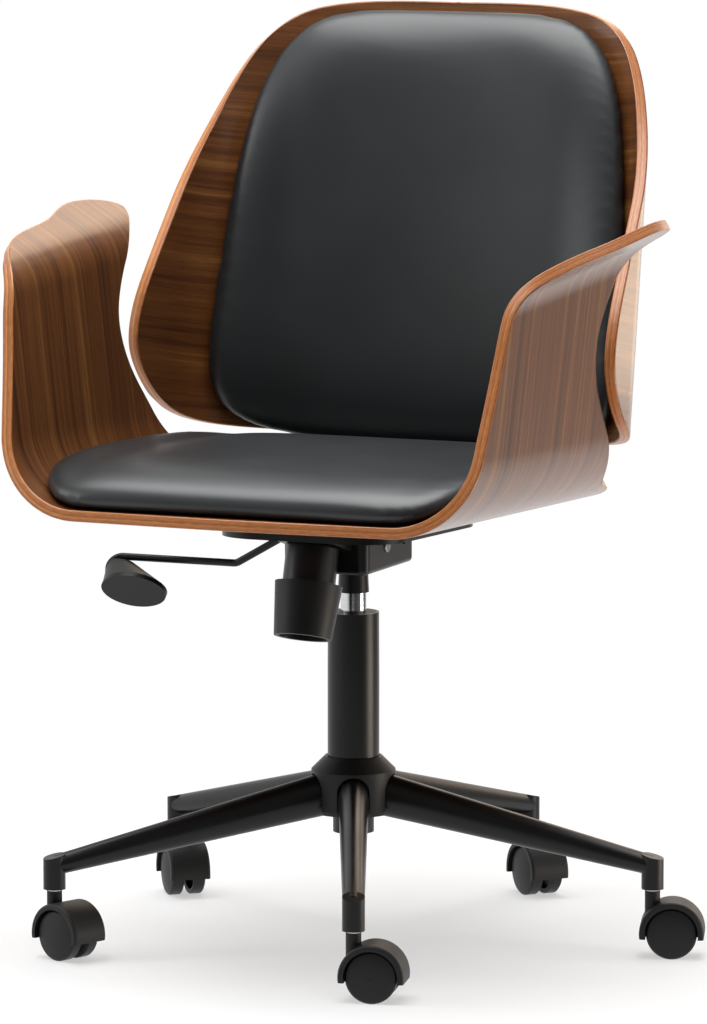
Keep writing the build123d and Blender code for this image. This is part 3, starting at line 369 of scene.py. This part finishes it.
# %% [markdown]
# ## Seat shell
# One sheet makes the seat and both arms: flat under the sitter, bent up at each side, leaning out
# a little, then rolled outwards into a flare. Fibres run along the bend. The outline is drawn
# across the arm, square to the middle of the flare, and each point is moved along the profile
# until it lies on that outline.

# %% Seat profile
SEAT_FLAT, SEAT_BEND, FLARE_BEND = 0.1642, 0.0872, 0.0445
ARM_TURN, FLARE_TURN = radians(83.6), radians(51.3)
SEAT_FRONT, SEAT_FRONT_Z = -0.312, 0.4475
FLARE_Z = 0.6658
SEAT_SLOPE, FLARE_CLIMB = np.tan(radians(2)), np.tan(radians(3.4))
TRIM = radians(25)


def seat_profile(run, y, inset):
    """Half section at a distance from the column: flat, arc, line, arc, line, by run along the middle
    of the sheet; returns x, z and the normal to the inner side."""
    base = SEAT_FRONT_Z - SEAT_SLOPE * (y - SEAT_FRONT)
    middle = PLY / 2
    arm = (FLARE_Z + FLARE_CLIMB * y - base - SEAT_BEND * (1 - np.cos(ARM_TURN))) / np.sin(ARM_TURN)
    r1, r2 = SEAT_BEND - middle, FLARE_BEND + middle
    a = run - SEAT_FLAT
    b = a - r1 * ARM_TURN
    c = b - arm
    d = c - r2 * FLARE_TURN
    flat = np.minimum(run, SEAT_FLAT)
    turn1 = np.clip(a / r1, 0, ARM_TURN)
    line = np.clip(b, 0, arm)
    turn2 = np.clip(c / r2, 0, FLARE_TURN)
    tip = np.maximum(d, 0)
    head = turn1 - turn2
    x = flat + r1 * np.sin(turn1) + line * np.cos(ARM_TURN)
    z = base + middle + r1 * (1 - np.cos(turn1)) + line * np.sin(ARM_TURN)
    x = x + r2 * (np.sin(ARM_TURN) - np.sin(ARM_TURN - turn2)) + tip * np.cos(ARM_TURN - FLARE_TURN)
    z = z + r2 * (np.cos(ARM_TURN - turn2) - np.cos(ARM_TURN)) + tip * np.sin(ARM_TURN - FLARE_TURN)
    nx, nz = -np.sin(head), np.cos(head)
    return x + nx * inset, z + nz * inset, nx, nz


def solve_run(goal, level, low, high):
    """Run along a profile where a rising level meets its goal, by halving the interval."""
    low, high = np.full_like(goal, low), np.full_like(goal, high)
    for _ in range(40):
        middle = (low + high) / 2
        under = level(middle) < goal
        low, high = np.where(under, middle, low), np.where(under, high, middle)
    return (low + high) / 2


# %% Seat shell
def seat_level(run, y):
    x, z = seat_profile(run, y, 0.0)[:2]
    return np.sin(TRIM) * x + np.cos(TRIM) * z


arm_front = np.array([(-312, 413), (-295, 524), (-254, 667), (-240, 709), (-216, 736)]) / 1000
arm_top = np.array([(-216, 736), (-166, 759), (-68, 773), (30, 787), (84, 767)]) / 1000
arm_rear = np.array([(84, 767), (62, 749), (32, 725), (3, 691), (-9, 661), (-2, 628), (51, 565), (113, 506),
                     (154, 495), (192, 467), (210, 425), (214, 396)]) / 1000
outline = smooth_curve(np.concatenate([arm_front, arm_top[1:], arm_rear[1:]]), 4000)
corner_one = np.argmin(np.linalg.norm(outline - arm_top[0], axis=1))
corner_two = np.argmin(np.linalg.norm(outline - arm_top[-1], axis=1))
front_start = np.array([SEAT_FRONT, seat_level(np.array(0.0), np.array(SEAT_FRONT))])
rear_start = np.array([0.214, seat_level(np.array(0.0), np.array(0.214))])
front_side = even(np.vstack([front_start, outline[:corner_one + 1]]), 150)
rear_side = even(np.vstack([rear_start, outline[corner_two:-1][::-1]]), 150)
top_side = even(outline[corner_one:corner_two + 1], 90)
middle_line = np.linspace(front_start, rear_start, 90)
patch = coons(front_side, rear_side, middle_line, top_side)
patch_y, patch_level = patch[..., 0], patch[..., 1]
patch_run = solve_run(patch_level, lambda run: seat_level(run, patch_y), 0.0, 0.75)
patch_run[0] = 0.0
arm_x, arm_z, normal_x, normal_z = seat_profile(patch_run, patch_y, 0.0)
half_sheet = np.stack([arm_x, patch_y, arm_z], -1)
half_normal = np.stack([normal_x, SEAT_SLOPE * normal_z, normal_z], -1)
mirror = np.array([-1, 1, 1])
seat_middle = np.concatenate([half_sheet[:0:-1] * mirror, half_sheet])
seat_normal = unit(np.concatenate([half_normal[:0:-1] * mirror, half_normal]))
half_grain = np.stack([patch_run, patch_y], -1)
seat_grain = np.concatenate([half_grain[:0:-1] * np.array([-1, 1]), half_grain])
seat_sheet = thick_sheet("seat_veneer_shell", seat_middle, seat_normal, seat_grain)
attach(seat_sheet, "seat")
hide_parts("seat_shell")

# %% [markdown]
# ## Back shell
# The back is a second sheet, nearly flat across the sitter and bent forward into two wings that
# taper to the top. Its fibres run across the back, round the bend. It leans to the rear.

# %% Back profile
BACK_TILT = radians(9.3)
BACK_Z, BACK_Y = 0.600, 0.229
BACK_SWEEP, BACK_BEND = 0.900, 0.128
BACK_TURN = np.arcsin(0.148 / 0.900)
BACK_END = radians(83)
WING_CUT = radians(65)
GRAIN_SHIFT = 2.0     # metres along the log, so that the back has its own figure


def back_profile(run, inset):
    """Half section of the back by run along the middle of the sheet: wide arc, tight arc, line;
    returns x, depth to the rear, and the normal to the front."""
    r1, r2 = BACK_SWEEP - PLY / 2, BACK_BEND - PLY / 2
    a = run - r1 * BACK_TURN
    b = a - r2 * (BACK_END - BACK_TURN)
    turn1 = np.clip(run / r1, 0, BACK_TURN)
    turn2 = np.clip(a / r2, 0, BACK_END - BACK_TURN)
    line = np.maximum(b, 0)
    head = turn1 + turn2
    x = r1 * np.sin(turn1) + r2 * (np.sin(BACK_TURN + turn2) - np.sin(BACK_TURN)) + line * np.cos(BACK_END)
    v = BACK_Y - PLY / 2 - r1 * (1 - np.cos(turn1)) - line * np.sin(BACK_END)
    v = v - r2 * (np.cos(BACK_TURN) - np.cos(BACK_TURN + turn2))
    nx, nv = -np.sin(head), -np.cos(head)
    return x + nx * inset, v + nv * inset, nx, nv


def back_place(x, v, h):
    """Back frame (across, depth, height) to the chair's frame: turned by the lean about X."""
    y = v * np.cos(BACK_TILT) + h * np.sin(BACK_TILT)
    z = BACK_Z - v * np.sin(BACK_TILT) + h * np.cos(BACK_TILT)
    return np.stack([x, y, z], -1)


def back_level(run):
    x, v = back_profile(run, 0.0)[:2]
    return np.cos(WING_CUT) * x - np.sin(WING_CUT) * v


# %% Back shell
centre_level = float(back_level(np.array(0.0)))
wing = np.array([(-175, 360), (-124, 348), (-86, 312), (-42, 237), (8, 149.5), (52, 70), (73, 21),
                 (74, -13), (52, -44), (10, -70), (-50, -83), (-110, -85)]) / 1000
wing_curve = smooth_curve(np.vstack([(-0.205, 0.360), wing, (-0.150, -0.085)]), 4000)
top_corner = np.argmin(np.linalg.norm(wing_curve - (-0.086, 0.312), axis=1))
foot_corner = np.argmin(np.linalg.norm(wing_curve - (0.030, -0.058), axis=1))
top_side = even(np.vstack([(centre_level, 0.360), wing_curve[:top_corner + 1]]), 110)
foot_side = even(np.vstack([(centre_level, -0.085), wing_curve[foot_corner:][::-1]]), 110)
wing_side = even(wing_curve[top_corner:foot_corner + 1][::-1], 130)
centre_line = np.linspace((centre_level, -0.085), (centre_level, 0.360), 130)
patch = coons(foot_side, top_side, centre_line, wing_side)
patch_run = solve_run(patch[..., 0], back_level, 0.0, 0.45)
patch_run[0] = 0.0
wing_x, wing_v, normal_x, normal_v = back_profile(patch_run, 0.0)
half_sheet = back_place(wing_x, wing_v, patch[..., 1])
half_normal = np.stack([normal_x, normal_v * np.cos(BACK_TILT), -normal_v * np.sin(BACK_TILT)], -1)
back_middle = np.concatenate([half_sheet[:0:-1] * mirror, half_sheet])
back_normal = np.concatenate([half_normal[:0:-1] * mirror, half_normal])
patch_tall = patch[..., 1] + GRAIN_SHIFT
half_grain = np.stack([patch_run, patch_tall], -1)
back_grain = np.concatenate([half_grain[:0:-1] * np.array([-1, 1]), half_grain])
back_sheet = thick_sheet("back_veneer_shell", back_middle, back_normal, back_grain)
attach(back_sheet, "seat")
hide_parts("back_shell")

# %% [markdown]
# ## Cushions
# Each cushion is foam under a stretched cover, glued to a board that lies on the plywood: it rises
# from a tucked-in foot, rolls over a full edge, and swells gently to the middle. The form is a
# closed surface over the shell, by direction round the outline and share of the way out. A short
# cloth simulation with a little inside pressure then rounds it as stretched leatherette would be.

# %% Cushion helpers
CUSHION_LIFT = 0.0009  # clear of the plywood
TUCK = 0.035          # share of the way out that is tucked in under the edge
VOXEL = 0.005         # cell of the cloth
MOST_SWELL = 0.003    # cap on the simulated swelling


def pad_rows(low, crown, power):
    """Rows of a pad from the middle of its foot to its crown, as share of the way out and height:
    a flat foot, a quarter round tucked in under the edge, then
    low + (crown - low) * (1 - share ** power) ** 0.5."""
    foot = np.linspace(0.02, 1 - TUCK, 24)
    tuck = np.linspace(-np.pi / 2, 0, 8)[1:]
    roll = np.cos(np.linspace(0, 1.35, 30)[1:]) ** (2 / power)
    top = np.linspace(roll[-1], 0.02, 26)[1:]
    upper = np.r_[roll, top]
    share = np.r_[foot, 1 - TUCK + TUCK * np.cos(tuck), upper]
    height = np.r_[0 * foot, low * (1 + np.sin(tuck)), low + (crown - low) * (1 - upper ** power) ** 0.5]
    return share[:, None], height[:, None]


def closed_rings(name, rings):
    """Closed mesh from rings of points: quads between rings and a fan at each pole."""
    count, around = rings.shape[:2]
    index = np.arange(count * around).reshape(count, around)
    nxt = np.roll(index, -1, 1)
    quads = np.stack([index[:-1], nxt[:-1], nxt[1:], index[1:]], -1).reshape(-1, 4)
    points = np.concatenate([rings.reshape(-1, 3), rings[0].mean(0)[None], rings[-1].mean(0)[None]])
    first, last = count * around, count * around + 1
    fan_low = np.stack([np.full(around, first), nxt[0], index[0]], -1)
    fan_high = np.stack([np.full(around, last), index[-1], nxt[-1]], -1)
    mesh = bpy.data.meshes.new(name)
    mesh.from_pydata(points.tolist(), [], quads.tolist() + fan_low.tolist() + fan_high.tolist())
    fix_normals(mesh)
    piece = bpy.data.objects.new(name, mesh)
    bpy.context.collection.objects.link(piece)
    return piece


def apply_modifier(piece, modifier):
    bpy.context.view_layer.objects.active = piece
    piece.select_set(True)
    bpy.ops.object.modifier_apply(modifier=modifier.name)
    piece.select_set(False)


def mesh_points(piece):
    points = np.empty(len(piece.data.vertices) * 3)
    piece.data.vertices.foreach_get("co", points)
    return points.reshape(-1, 3)


def spread(piece, values, rounds):
    """Average a value over neighbouring points, a number of times: half own, half neighbours' mean."""
    ends = np.empty(len(piece.data.edges) * 2, np.int32)
    piece.data.edges.foreach_get("vertices", ends)
    a, b = ends.reshape(-1, 2).T
    count = len(values)
    neighbours = np.bincount(ends, minlength=count)
    for _ in range(rounds):
        total = np.bincount(a, values[b], count) + np.bincount(b, values[a], count)
        values = (values + total / neighbours) / 2
    return values


def swell(piece, up):
    """Remesh to even cells, blow up with a little pressure as cloth, and keep the smooth, capped part
    of the swelling along each point's normal; what faces away from up lies on its board and stays."""
    remesh = piece.modifiers.new("cells", "REMESH")
    remesh.mode = "VOXEL"
    remesh.voxel_size = VOXEL
    apply_modifier(piece, remesh)
    before = mesh_points(piece)
    normals = np.empty(before.size)
    piece.data.vertices.foreach_get("normal", normals)
    normals = normals.reshape(-1, 3)
    cloth = piece.modifiers.new("cloth", "CLOTH")
    cloth.settings.use_pressure = True
    cloth.settings.uniform_pressure_force = 4.0
    cloth.settings.effector_weights.gravity = 0.0
    cloth.settings.quality = 5
    cloth.settings.tension_stiffness = 25.0
    cloth.settings.compression_stiffness = 25.0
    cloth.settings.bending_stiffness = 4.0
    scene = bpy.context.scene
    for number in range(1, 21):
        scene.frame_set(number)
    apply_modifier(piece, cloth)
    scene.frame_set(1)
    rise = np.sum((mesh_points(piece) - before) * normals, axis=1)
    print(piece.name, "swells up to", round(float(rise.max()) * 1000, 2), "mm before the cap")
    free = np.clip(1 + 4 * normals @ np.array(up), 0, 1)
    rise = spread(piece, np.clip(rise, 0, MOST_SWELL), 60) * free
    piece.data.vertices.foreach_set("co", (before + normals * rise[:, None]).reshape(-1))
    settle = piece.modifiers.new("settle", "SMOOTH")
    settle.factor = 0.5
    settle.iterations = 12
    apply_modifier(piece, settle)
    finer = piece.modifiers.new("finer", "SUBSURF")
    finer.levels = finer.render_levels = 1
    apply_modifier(piece, finer)
    piece.data.polygons.foreach_set("use_smooth", np.ones(len(piece.data.polygons), bool))
    piece.data.update()


# %% Seat cushion
SEAT_PAD_FRONT, SEAT_PAD_REAR = -0.304, 0.195
SEAT_PAD_HALF, SEAT_PAD_TAPER = 0.254, 0.032   # along the plywood from the middle
CORNER = 7.0          # power of the rounded outline

angle = np.linspace(0, 2 * np.pi, 320, endpoint=False)
reach = (np.abs(np.cos(angle)) ** CORNER + np.abs(np.sin(angle)) ** CORNER) ** (-1 / CORNER)
share, height = pad_rows(0.009, 0.046, 4.0)
fore = share * reach * np.sin(angle)
run = share * reach * np.cos(angle) * (SEAT_PAD_HALF - SEAT_PAD_TAPER * np.abs(fore) ** 3)
depth = (SEAT_PAD_FRONT + SEAT_PAD_REAR) / 2 + fore * (SEAT_PAD_REAR - SEAT_PAD_FRONT) / 2
x, z = seat_profile(np.abs(run), depth, PLY / 2 + CUSHION_LIFT + height)[:2]
seat_pad = closed_rings("seat_pad", np.stack([np.sign(run) * x, depth, z], -1))
swell(seat_pad, (0.0, 0.0, 1.0))
seat_pad.data.materials.append(finishes["leatherette"])
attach(seat_pad, "seat")
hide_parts("seat_cushion")
print("seat pad", len(seat_pad.data.polygons), "faces")

# %% Back cushion
BACK_PAD_TOP, BACK_PAD_FOOT = 0.350, -0.078
TOP_CORNER = 5.0      # rounder at the top
BACK_PAD_SAG = 0.018  # the foot bows down in the middle, over the edge of the plywood

share, height = pad_rows(0.010, 0.045, 4.5)
corner = np.where(np.sin(angle) > 0, TOP_CORNER, CORNER)
reach = (np.abs(np.cos(angle)) ** corner + np.abs(np.sin(angle)) ** corner) ** (-1 / corner)
rise = share * reach * np.sin(angle)
above, below = np.maximum(rise, 0), np.minimum(rise, 0)
pad_half = 0.241 - 0.025 * below - above * (0.030 + 0.028 * above)   # along the plywood from the middle
run = share * reach * np.cos(angle) * pad_half
tall = (BACK_PAD_TOP + BACK_PAD_FOOT) / 2 + rise * (BACK_PAD_TOP - BACK_PAD_FOOT) / 2
tall = tall - BACK_PAD_SAG * below ** 2 * (1 - (share * reach * np.cos(angle)) ** 2)
x, v = back_profile(np.abs(run), PLY / 2 + CUSHION_LIFT + height)[:2]
back_pad = closed_rings("back_pad", back_place(np.sign(run) * x, v, tall))
swell(back_pad, (0.0, -np.cos(BACK_TILT), np.sin(BACK_TILT)))
back_pad.data.materials.append(finishes["leatherette"])
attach(back_pad, "seat")
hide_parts("back_cushion")
print("back pad", len(back_pad.data.polygons), "faces")

# %% [markdown]
# ## Finishes for the CAD pieces
# Every other piece keeps its CAD shape and takes the finish of its material slot.

# %% CAD finishes
slot_of = {row["node"]: row["material_slot"] for row in frame["record"]["subparts"]}
for node, piece in frame["nodes"].items():
    piece.data.materials.clear()
    piece.data.materials.append(finishes[slot_of[node]])
print("dressed", len(frame["nodes"]), "CAD pieces")

# %% [markdown]
# ## Floor and light
# A white sweep as for a catalogue. The sweep is white to the camera and in reflections, and keeps a
# soft grey shadow near the casters. The studio round it is white at the sides, above and behind,
# and dark on the camera's side, so that black tubes get bright edges and a dark middle. Warm lamps
# behind give the lacquer its cream reflections, and a low one stands in for light off the floor.

# %% Floor and light
FRONT = (float(np.sin(turn)), float(-np.cos(turn)), 0.0)   # from the chair to the camera
FLOOR_HALF = 30.0
SHEET_WHITE = 0.92    # albedo that brings the unshaded sheet to white for the camera

floor_mesh = bpy.data.meshes.new("floor")
floor_mesh.from_pydata(
    [(x * FLOOR_HALF, y * FLOOR_HALF, 0) for x, y in ((-1, -1), (1, -1), (1, 1), (-1, 1))],
    [], [(0, 1, 2, 3)])
floor = bpy.data.objects.new("floor", floor_mesh)
bpy.context.collection.objects.link(floor)
material, tree, output = new_material("white_sweep")
path = add(tree, "ShaderNodeLightPath")
place = add(tree, "ShaderNodeTexCoord").outputs["Object"]
away = add(tree, "ShaderNodeVectorMath", {0: place}, operation="LENGTH").outputs["Value"]
fade = add(tree, "ShaderNodeMapRange", {0: away, 1: 0.50, 2: 1.05, 3: 0.50, 4: 1.0},
           interpolation_type="SMOOTHSTEP")
paper = add(tree, "ShaderNodeBsdfDiffuse", {"Color": linear("#e8e8e8")})
lit_paper = add(tree, "ShaderNodeBsdfDiffuse", {"Color": (SHEET_WHITE, SHEET_WHITE, SHEET_WHITE, 1.0)})
bare_white = add(tree, "ShaderNodeEmission", {"Color": linear("#ffffff"), "Strength": 1.0})
swept = add(tree, "ShaderNodeMixShader", {0: fade, 1: lit_paper, 2: bare_white})
shown = add(tree, "ShaderNodeMixShader", {0: path.outputs["Is Camera Ray"], 1: paper, 2: swept})
mirrored = add(tree, "ShaderNodeMath",
               {0: path.outputs["Is Glossy Ray"], 1: path.outputs["Is Transmission Ray"]},
               operation="MAXIMUM")
forward = add(tree, "ShaderNodeVectorMath", {0: place, 1: FRONT},
              operation="DOT_PRODUCT").outputs["Value"]
near = add(tree, "ShaderNodeMapRange", {0: forward, 1: 0.9, 2: 2.6, 3: 1.0, 4: 0.1},
           interpolation_type="SMOOTHSTEP")
across = add(tree, "ShaderNodeSeparateXYZ", {0: place}).outputs["X"]
right = add(tree, "ShaderNodeMapRange", {0: across, 1: 0.5, 2: 1.3, 3: 1.0, 4: 0.2},
            interpolation_type="SMOOTHSTEP")
dim = add(tree, "ShaderNodeMath", {0: near, 1: right}, operation="MULTIPLY")
far_white = add(tree, "ShaderNodeEmission", {"Color": linear("#ffffff"), "Strength": dim})
reflected = add(tree, "ShaderNodeMixShader", {0: mirrored, 1: shown, 2: far_white})
tree.links.new(reflected.outputs[0], output.inputs["Surface"])
floor_mesh.materials.append(material)

world = bpy.data.worlds.new("studio")
bpy.context.scene.world = world
world.use_nodes = True
tree = world.node_tree
tree.nodes.clear()
path = add(tree, "ShaderNodeLightPath")
heading = add(tree, "ShaderNodeTexCoord").outputs["Generated"]
facing = add(tree, "ShaderNodeVectorMath", {0: heading, 1: FRONT},
             operation="DOT_PRODUCT").outputs["Value"]
bright_side = add(tree, "ShaderNodeMapRange", {0: facing, 1: 0.30, 2: 0.95, 3: 1.0, 4: 0.12},
                  interpolation_type="SMOOTHSTEP")
rising = add(tree, "ShaderNodeSeparateXYZ", {0: heading}).outputs["Z"]
overhead = add(tree, "ShaderNodeMapRange", {0: rising, 1: 0.2, 2: 0.7, 3: 1.0, 4: 0.6},
               interpolation_type="SMOOTHSTEP")
sideways = add(tree, "ShaderNodeVectorMath", {0: heading, 1: (0.45, 0.89, 0.0)},
               operation="DOT_PRODUCT").outputs["Value"]
right_wall = add(tree, "ShaderNodeMapRange", {0: sideways, 1: 0.75, 2: 0.97, 3: 1.0, 4: 0.4},
                 interpolation_type="SMOOTHSTEP")
walls = add(tree, "ShaderNodeMath", {0: bright_side, 1: right_wall}, operation="MULTIPLY")
studio = add(tree, "ShaderNodeMath", {0: walls, 1: overhead}, operation="MULTIPLY")
level = add(tree, "ShaderNodeMix", {0: path.outputs["Is Glossy Ray"], 2: 0.30, 3: studio})
soft = add(tree, "ShaderNodeBackground", {"Color": linear("#ffffff"), "Strength": level})
white = add(tree, "ShaderNodeBackground", {"Color": linear("#ffffff"), "Strength": 1.0})
seen = add(tree, "ShaderNodeMath", {0: path.outputs["Is Camera Ray"], 1: path.outputs["Is Transmission Ray"]},
           operation="MAXIMUM")
choice = add(tree, "ShaderNodeMixShader", {0: seen, 1: soft, 2: white})
add(tree, "ShaderNodeOutputWorld", {"Surface": choice})


def softbox(name, place, aim, size, power, colour="#ffffff"):
    """A square area lamp at a place, turned to a point."""
    data = bpy.data.lights.new(name, "AREA")
    data.shape = "SQUARE"
    data.size = size
    data.energy = power
    data.color = linear(colour)[:3]
    lamp = bpy.data.objects.new(name, data)
    lamp.location = place
    lamp.rotation_euler = (Vector(aim) - Vector(place)).to_track_quat("-Z", "Y").to_euler()
    lamp.visible_camera = False
    bpy.context.collection.objects.link(lamp)


softbox("overhead", (-0.2, -0.1, 3.4), (0, 0, 0.4), 2.8, 160)
softbox("left_side", (-2.8, -1.2, 1.5), (0, 0, 0.6), 1.6, 18)
softbox("rear_top", (-0.5, 2.9, 2.0), (0, 0, 0.6), 1.4, 16, "#ffe0c0")
softbox("rear_wing", (0.60, 2.9, 0.7), (0.2, 0.1, 0.7), 1.0, 7, "#ffe0c0")
softbox("floor_bounce", (0.95, 0.20, 0.02), (0.38, 0.0, 0.75), 0.5, 9, "#ffeedd")
